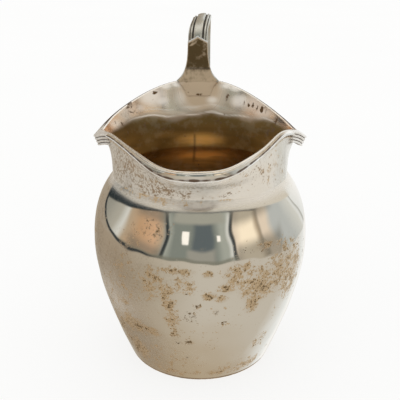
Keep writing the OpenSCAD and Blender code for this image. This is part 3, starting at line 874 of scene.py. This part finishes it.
def paintTongue(piece, shape, loops, side):
    z = loops[..., 2]
    foot = shape["footDark"] * np.exp(-np.abs(z - shape["tongueFootZ"]) / shape["footSpan"])
    # film thickest under the top, a dark line along its lower end
    rise = limit((z - shape["tongueFootZ"]) / (shape["tongueZ"] - shape["tongueFootZ"]))
    line = shape["lineDark"] * bell(rise - shape["lineAt"], shape["lineSpan"])
    paintPoints(piece, "groove", np.maximum(foot, line))
    thick = shape["filmThin"] + shape["filmThick"] * limit((rise - shape["filmFrom"]) / shape["filmRise"])
    thick = thick + shape["filmThin"] * bell(rise - shape["bellyAt"], shape["bellySpan"])
    below = tongueTop(side) - z
    # film thinner along a short bar under the point, paler there
    low, high = shape["barSides"]
    onBar = bell(below - shape["barBelow"], shape["barSpan"]) * ((side > low) & (side < high))
    thick = thick * (1 - shape["barThin"] * onBar)
    # painted highlight along the pointed edge and down both sides: no film there, and matt
    filmKept = limit((below - shape["edgeShineTop"]) / shape["edgeShineSoft"])
    filmKept = np.minimum(filmKept, limit((shape["edgeShineSide"] - np.abs(side)) / shape["edgeShineSideSoft"]))
    paintPoints(piece, "film", thick * filmKept)
    paintPoints(piece, "brushed", limit((0.5 - filmKept) / shape["edgeShineSoft"]) * (z > collarZ + 1.0))
    paintPoints(piece, "collar", np.ones(z.shape))
    paintPoints(piece, "dull", limit(stainField(loops, mouthShape["dulls"])))
    paintPoints(piece, "stain", stainField(loops, shape["footStains"]))


def makeTongue(shape):
    x = np.linspace(-1, 1, shape["tongueColumns"] + 1)[None, :]
    share = np.linspace(0, 1, shape["tongueRows"] + 1)[:, None]
    z = shape["tongueFootZ"] + (tongueTop(x) - shape["tongueFootZ"]) * share
    wide = x * (shape["tongueHalf"] + shape["tongueFan"] * np.exp(-np.abs(z - collarZ) / shape["fanHigh"]))
    r = tongueBack(z)
    bow = 1 - tongueRise(z) / shape["tongueBend"]
    y = r - bow * (r - np.sqrt(r ** 2 - wide ** 2)) - shape["gap"]
    back = np.stack([wide + mouthShape["skew"] * collarLevel(z), y, z], -1)
    front = back.copy()
    lap = np.minimum(1, (z - shape["tongueFootZ"]) / (collarZ - shape["tongueFootZ"]))
    flush = 1 - shape["sideThin"] * np.abs(x) ** 4 * (1 - lap ** 2)  # side edges thin out under the rim
    front[..., 1] -= shape["tongueThick"] * atLeast(shape["feather"], lap) * flush
    loops = np.concatenate([front, back[:, ::-1]], 1)
    piece = buildSkin("handle_tongue_plate", loops, sharp=40)
    bevel = piece.modifiers.new("edge", "BEVEL")
    bevel.width = shape["bevel"] * mm
    bevel.segments = shape["bevelSteps"]
    bevel.limit_method = "ANGLE"
    bevel.angle_limit = math.radians(45)
    paintTongue(piece, shape, loops, np.concatenate([x, -x], 1))
    placePiece(piece, "handle_tongue", [handleFinish, insideFinish])
    for face in piece.data.polygons:  # below the rim it has the collar's own finish
        face.material_index = int(face.center.z < (collarZ - shape["collarDrop"]) * mm)


def strapLine(shape):
    start, end = collarZ + shape["strapStart"], shape["tongueZ"]
    z = start + (end - start) * np.arange(shape["riseSteps"]) / shape["riseSteps"]
    rise = np.stack([tongueBack(z) + shape["strapPlain"], z], -1)
    upY = float(tongueBack(np.array(end))) + shape["strapPlain"]
    loopY, loopZ, steps = shape["loopY"], shape["loopZ"], shape["loopSteps"]
    crown, rear = (shape["crownY"], loopZ), (loopY, shape["backZ"])
    foot = (float(bowlRadius(shape["footZ"])), shape["footZ"])
    over = cubicLine((upY, end), (upY, shape["risePull"]), (shape["crownPull"], loopZ), crown, steps)
    back = cubicLine(crown, (shape["overPull"], loopZ), (loopY, shape["backPull"]), rear, steps, 1)
    down = cubicLine(rear, (loopY, shape["lowPull"]), shape["footPull"], foot, steps, 1)
    return np.vstack([rise, over, back, down])


def makeStrap(shape):
    line = strapLine(shape)
    count = len(line)
    along = np.empty_like(line)
    along[1:-1] = line[2:] - line[:-2]
    along[0], along[-1] = line[1] - line[0], line[-1] - line[-2]
    along = unit(along)
    outward = np.stack([-along[:, 1], along[:, 0]], -1)
    top = shape["riseSteps"] + shape["loopSteps"]
    share = (np.maximum(0, np.arange(count) - top) / (count - 1 - top))[:, None]
    half = shape["strapHalf"] + (shape["footHalf"] - shape["strapHalf"]) * share ** 3
    # across the strap: wide middle band, groove, reed, groove, edge reed
    marks = np.array(shape["section"])
    x = np.linspace(-1, 1, shape["strapColumns"] + 1)
    side = np.abs(x)
    spot = np.clip(np.searchsorted(marks[:, 0], side, side="right") - 1, 0, len(marks) - 2)
    step = (side - marks[spot, 0]) / (marks[spot + 1, 0] - marks[spot, 0])
    high = marks[spot, 1] + (marks[spot + 1, 1] - marks[spot, 1]) * ease(step)
    # plain behind the tongue, reeded above its point
    past = np.arange(count)[:, None] > top
    clear = line[:, 1:] - tongueTop(x)[None, :] + shape["reliefFrom"]
    relief = np.where(past, 1, limit(clear / shape["reliefSpan"]))
    lift = shape["strapPlain"] + (high[None, :] - shape["strapPlain"]) * relief
    bent = ease(limit((np.arange(count) - shape["riseSteps"]) / shape["loopSteps"]))[:, None]
    wide = half * x[None, :] + (mouthShape["skew"] + shape["lean"] * bent) * (1 - share)
    tip = shape["roll"] * bent * (1 - share) * x[None, :]
    outer, inner = (
        np.stack([wide, line[:, :1] + rise * outward[:, :1], line[:, 1:] + rise * outward[:, 1:]], -1)
        for rise in (lift + tip, tip)
    )
    for face in (outer, inner):  # the foot follows the round of the bowl
        face[-1, :, 1] = np.sqrt((bowlRadius(face[-1, :, 2]) + shape["gap"]) ** 2 - face[-1, :, 0] ** 2)
    piece = buildSkin("handle_strap_loop", np.concatenate([outer, inner[:, ::-1]], 1), sharp=70)
    band = limit((shape["bandTop"] - high) / shape["bandFall"])
    reed = shape["reedDark"] * limit((shape["reedTop"] - high) / shape["reedFall"])
    dark = np.where(side < shape["bandEdge"], band, reed) * (side < shape["reedEdge"])
    paintBand(piece, "groove", relief * dark[None, :])
    placePiece(piece, "handle_strap", [handleFinish])


makeTongue(handleShape)
makeStrap(handleShape)


# base disc: rounded edge, faint hollow underneath
baseShape = {
    "r": 25.6, "thick": 0.9, "round": 0.25, "roundSteps": 8, "hollow": 0.12, "columns": 180,
    "rings": (8, 16), "hollowIn": 5, "footIn": 3, "floorIn": 1.2,
    "haze": 0.9, "stain": 0.12, "edgeDark": 0.4, "darkFrom": 0.1, "darkRise": 0.3,
}


def makeBase(shape):
    r, thick, edge, hollow = shape["r"], shape["thick"], shape["round"], shape["hollow"]
    near, far = shape["rings"]
    v = np.linspace(-90, 90, shape["roundSteps"] + 1)
    rounded = [r - edge + edge * cosd(v), thick / 2 + (thick / 2 - edge) * np.sign(v) + edge * sind(v)]
    under = [(near, hollow), (far, hollow), (r - shape["hollowIn"], hollow), (r - shape["footIn"], 0.0)]
    floor = [(r - shape["floorIn"], thick), (far, thick), (near, thick)]
    section = np.vstack([under, np.stack(rounded, -1), floor])
    count, rows = shape["columns"], len(section)
    a = np.arange(count)[:, None] * 360 / count
    rings = np.stack([section[:, 0] * sind(a), -section[:, 0] * cosd(a), section[:, 1] + 0 * a], -1)
    points = np.vstack([rings.reshape(-1, 3), [(0, 0, hollow), (0, 0, thick)]])
    faces = []
    for i in range(count):
        k = (i + 1) % count
        faces += [(i * rows + j, k * rows + j, k * rows + j + 1, i * rows + j + 1) for j in range(rows - 1)]
        faces.append((count * rows, k * rows, i * rows))  # middle of the underside
        faces.append((count * rows + 1, i * rows + rows - 1, k * rows + rows - 1))
    piece = meshPiece("base_plate", points, faces, 40)
    top = thick - 0.01
    onFloor = (points[:, 2] > top) & (np.hypot(points[:, 0], points[:, 1]) < r - 1)
    # faint on the underside, darker up the rounded edge towards the bowl, none on the floor inside
    raised = limit((points[:, 2] - shape["darkFrom"]) / shape["darkRise"])
    rim = shape["stain"] + shape["edgeDark"] * raised
    paintPoints(piece, "stain", np.where(onFloor, 0, rim))
    paintPoints(piece, "haze", np.full(len(points), shape["haze"]))
    paintInside(piece, points)
    placePiece(piece, "base_disc", [outsideFinish, insideFinish])
    for face in piece.data.polygons:  # gilt floor inside the bowl
        face.material_index = int(face.center.z > top * mm)


makeBase(baseShape)


# stage: pale floor and a white studio; the metal mirrors a dim room with warm light, on a wooden table
def turnRamp(tree, place, stops, tones):
    node = tree.nodes.new("ShaderNodeValToRGB")
    ramp = node.color_ramp
    for stop, (angle, name) in zip(ramp.elements, (stops[0], stops[-1])):
        stop.position, stop.color = (angle + 180) / 360, tones[name]
    for angle, name in stops[1:-1]:
        stop = ramp.elements.new((angle + 180) / 360)
        stop.color = tones[name]
    tree.links.new(place, node.inputs["Fac"])
    return node.outputs["Color"]


# turns are degrees from the lip to the right, lifts are degrees up; two limits with a third are a
# span and its softness, other rows are what a value fades from and to
studioLook = {
    "tones": {
        "plaster": (150, 148, 138), "mist": (172, 168, 156), "pale": (208, 208, 201),
        "clay": (176, 158, 134), "amber": (186, 152, 118), "lampWall": (206, 168, 134),
        "post": (46, 52, 54), "postEdge": (160, 163, 153), "screen": (126, 131, 123),
        "dusk": (92, 100, 102), "curtain": (250, 234, 207), "fold": (150, 138, 120),
        "linen": (222, 206, 185), "steel": (182, 185, 182), "cloud": (226, 228, 226),
        "snow": (244, 243, 240), "wood": (160, 146, 127), "oak": (178, 168, 151),
        "birch": (190, 183, 170), "walnut": (166, 146, 116), "sill": (120, 119, 106),
        "upper": (158, 157, 145), "window": (255, 250, 240), "wall": (164, 152, 135),
        "ceiling": (206, 199, 185), "zenith": (252, 248, 240), "shadow": (116, 112, 101),
    },
    "room": [
        (-180, "plaster"), (-118, "plaster"), (-98, "mist"), (-88, "pale"), (-82, "clay"), (-66, "amber"),
        (-48, "lampWall"), (-40, "clay"), (-38, "plaster"), (-37, "post"), (-34, "post"),
        (-32.5, "postEdge"), (-27, "screen"), (-9, "screen"), (-4, "dusk"), (12, "dusk"), (16, "screen"),
        (22, "postEdge"), (27, "postEdge"), (30, "pale"), (31.5, "pale"), (32.5, "post"), (35, "post"),
        (36.5, "linen"), (44, "curtain"), (58, "curtain"), (63, "clay"), (65.5, "fold"), (68, "linen"),
    ],
    "side": [
        (68, "linen"), (76, "linen"), (84, "steel"), (100, "steel"), (118, "pale"), (122, "cloud"),
        (123.5, "plaster"), (125, "cloud"), (146, "snow"), (156, "snow"), (180, "plaster"),
    ],
    "table": [
        (-180, "birch"), (-140, "wood"), (-95, "wood"), (-45, "oak"), (0, "birch"), (100, "birch"),
        (140, "cloud"), (154, "snow"), (180, "birch"),
    ],
    "eyeLift": 10.0, "bowing": 0.00021, "sideTurn": 68.0, "nearTable": (-85.0, -50.0, 0.75, 0.0),
    "tableEdge": -13.5, "edgeDrop": (40.0, 100.0, 0.0, 5.5),
    "leftShade": (-78.0, -40.0, 5.0), "rightShade": (38.0, 94.0, 4.0), "shadeLift": 12.0,
    "shadeFall": (5.0, 19.0, 0.0, 0.68), "middle": (-32.0, 30.0, 4.0), "upperRise": (27.0, 34.0),
    "lowMiddle": (-12.0, 16.0, 3.0), "lowFall": (-3.0, 1.0, 1.0, 0.0),
    "lights": [((-18.0, -11.0, 0.6), (5.0, 20.0, 0.8)), ((17.0, 21.0, 0.8), (6.0, 14.0, 1.0))],
    "sillTurns": (-112.0, 38.0, 6.0), "sillFall": (2.0, 5.0, 1.0, 0.0), "sillShare": 0.8,
    "archHigh": 48.0, "archBend": 0.65, "archLeft": (-110.0, -40.0, 6.0, 0.0),
    "archTurns": (-135.0, 126.0, 4.0), "lintelTurns": (-136.0, 72.0, 6.0),
    "lintelHigh": (-100.0, -40.0, 8.0, 2.4), "lintelDark": (-56.0, -40.0, 1.0, 0.75),
    "leftTurn": 136.0, "leftSlope": 0.45, "cornerRound": 36.0, "frameLine": (-0.4, 2.1, 0.5),
    "frameFade": (-64.0, -36.0, 1.0, 0.0), "ceilingFade": (45.0, 80.0), "white": 1.02, "mirror": 1.1,
}


def between(tree, value, low, high, soft):
    # one inside the two limits, nought outside
    return times(tree, fade(tree, value, low - soft, low + soft),
                 fade(tree, value, high - soft, high + soft, 1.0, 0.0))


def rampPlace(tree, turn):
    return calc(tree, "DIVIDE", plus(tree, turn, 180.0), 360.0)


def makeRoom(tree, look):
    tones = {name: tone(*color) for name, color in look["tones"].items()}
    ray = put(tree, "TexCoord", out="Generated")
    split = tree.nodes.new("ShaderNodeSeparateXYZ")
    tree.links.new(ray, split.inputs[0])
    x, y, z = split.outputs
    degree = 180 / math.pi
    turn = times(tree, calc(tree, "ARCTAN2", x, times(tree, y, -1.0)), degree)
    lift = times(tree, calc(tree, "ARCSINE", z), degree)
    # upright edges of the room bow outwards above and below eye level
    bow = calc(tree, "POWER", minus(tree, lift, look["eyeLift"]), 2.0)
    bowed = times(tree, turn, minus(tree, 1.0, times(tree, bow, look["bowing"])))
    azimuth = rampPlace(tree, bowed)
    room = mixTone(tree, calc(tree, "GREATER_THAN", bowed, look["sideTurn"]),
                   turnRamp(tree, azimuth, look["room"], tones), turnRamp(tree, azimuth, look["side"], tones))
    table = turnRamp(tree, rampPlace(tree, turn), look["table"], tones)
    table = mixTone(tree, fade(tree, lift, *look["nearTable"]), table, tones["walnut"])
    # both sides of the room fall off to shadow above and below eye level
    sides = most(tree, between(tree, turn, *look["leftShade"]), between(tree, turn, *look["rightShade"]))
    away = calc(tree, "ABSOLUTE", minus(tree, lift, look["shadeLift"]))
    room = mixTone(tree, times(tree, sides, fade(tree, away, *look["shadeFall"])), room, tones["shadow"])
    middle = between(tree, turn, *look["middle"])
    room = mixTone(tree, times(tree, middle, fade(tree, lift, *look["upperRise"])), room, tones["upper"])
    below = times(tree, between(tree, turn, *look["lowMiddle"]), fade(tree, lift, *look["lowFall"]))
    room = mixTone(tree, below, room, tones["plaster"])
    for turns, lifts in look["lights"]:
        pane = times(tree, between(tree, turn, *turns), between(tree, lift, *lifts))
        room = mixTone(tree, pane, room, tones["window"])
    # the table's edge lies lower on the right
    drop = fade(tree, turn, *look["edgeDrop"])
    edge = plus(tree, minus(tree, lift, look["tableEdge"]), drop)
    sill = times(tree, between(tree, turn, *look["sillTurns"]), fade(tree, edge, *look["sillFall"]))
    room = mixTone(tree, times(tree, sill, look["sillShare"]), room, tones["sill"])
    # the room ends in an arch above and a rounded upright on the left, both edged dark
    archTurn = times(tree, turn, look["archBend"] / degree)
    arch = minus(tree, lift, times(tree, calc(tree, "COSINE", archTurn), look["archHigh"]))
    arch = minus(tree, arch, fade(tree, turn, *look["archLeft"]))
    deep = calc(tree, "DIVIDE", arch, fade(tree, turn, *look["lintelHigh"]))
    lintel = times(tree, between(tree, deep, -1.0, 0.0, 0.14), between(tree, turn, *look["lintelTurns"]))
    lintel = times(tree, lintel, fade(tree, turn, *look["lintelDark"]))
    left = times(tree, plus(tree, turn, look["leftTurn"]), look["leftSlope"])
    inside = put(tree, "Math", {0: left, 1: edge, 2: look["cornerRound"]}, operation="SMOOTH_MIN")
    upright = times(tree, between(tree, inside, *look["frameLine"]), fade(tree, turn, *look["frameFade"]))
    room = mixTone(tree, most(tree, lintel, upright), room, tones["post"])
    above = mixTone(tree, fade(tree, lift, *look["ceilingFade"]), tones["ceiling"], tones["zenith"])
    around = mixTone(tree, fade(tree, edge, -0.6, 0.6), table, tones["wall"])
    seen = mixTone(tree, fade(tree, inside, -0.6, 0.6), around, room)
    high = times(tree, fade(tree, arch, -0.5, 0.5), between(tree, turn, *look["archTurns"]))
    return mixTone(tree, high, seen, above)


def makeStudio(look):
    scene = bpy.context.scene
    world = bpy.data.worlds.new("studio")
    scene.world = world
    world.use_nodes = True
    world.cycles.sampling_method = "NONE"
    tree = world.node_tree
    tree.nodes.clear()
    room = makeRoom(tree, look)
    path = tree.nodes.new("ShaderNodeLightPath")
    plain = put(tree, "Background", {"Color": (1, 1, 1, 1), "Strength": look["white"]})
    mirror = put(tree, "Background", {"Color": room, "Strength": look["mirror"]})
    both = put(tree, "MixShader", {0: path.outputs["Is Glossy Ray"], 1: plain, 2: mirror})
    output = tree.nodes.new("ShaderNodeOutputWorld")
    tree.links.new(both, output.inputs["Surface"])
    scene.view_settings.view_transform = "Standard"


floorLook = {
    "half": 6.0, "below": 0.05,  # half side in metres, gap under the base in millimetres
    "tones": ((0.17, 0.17, 0.17, 1), (0.19, 0.19, 0.185, 1)), "cloudScale": 3.0, "rough": 0.9,
    "glowTone": (1.0, 1.0, 0.995, 1), "glow": 0.8,  # glow keeps the contact shadow faint
}


def makeFloor(look):
    mesh = bpy.data.meshes.new("floor")
    side = look["half"]
    corners = [(-side, -side, 0), (side, -side, 0), (side, side, 0), (-side, side, 0)]
    mesh.from_pydata(corners, [], [(0, 1, 2, 3)])
    floor = bpy.data.objects.new("floor", mesh)
    bpy.context.scene.collection.objects.link(floor)
    floor.location.z = -look["below"] * mm
    material, tree, shader = newFinish("pale_floor")
    soft = noise(tree, put(tree, "TexCoord", out="Object"), look["cloudScale"], 2.0)
    feed(tree, shader, color=mixTone(tree, soft, *look["tones"]), rough=look["rough"])
    shader.inputs["Specular IOR Level"].default_value = 0.0
    shader.inputs["Emission Color"].default_value = look["glowTone"]
    shader.inputs["Emission Strength"].default_value = look["glow"]
    mesh.materials.append(material)
    floor.visible_glossy = False


makeStudio(studioLook)
makeFloor(floorLook)
print("studio made")

# camera: in front of the lip and a little above the handle, looking down into the mouth
cameraSet = {
    "distance": 191.75, "height": 129.3, "pitch": 21.21, "turn": 0.3,
    "lens": 54.0, "sensor": 36.0, "clip": 5.0,
}


def makeCamera(look):
    lens = bpy.data.cameras.new("camera")
    lens.lens = look["lens"]
    lens.sensor_width = look["sensor"]
    lens.clip_start = look["clip"] * mm
    camera = bpy.data.objects.new("camera", lens)
    bpy.context.scene.collection.objects.link(camera)
    turn = math.radians(look["turn"])
    reach = look["distance"] * mm
    camera.location = (reach * math.sin(turn), -reach * math.cos(turn), look["height"] * mm)
    camera.rotation_euler = (math.radians(90 - look["pitch"]), 0, turn)
    bpy.context.scene.camera = camera


makeCamera(cameraSet)

bpy.context.view_layer.update()
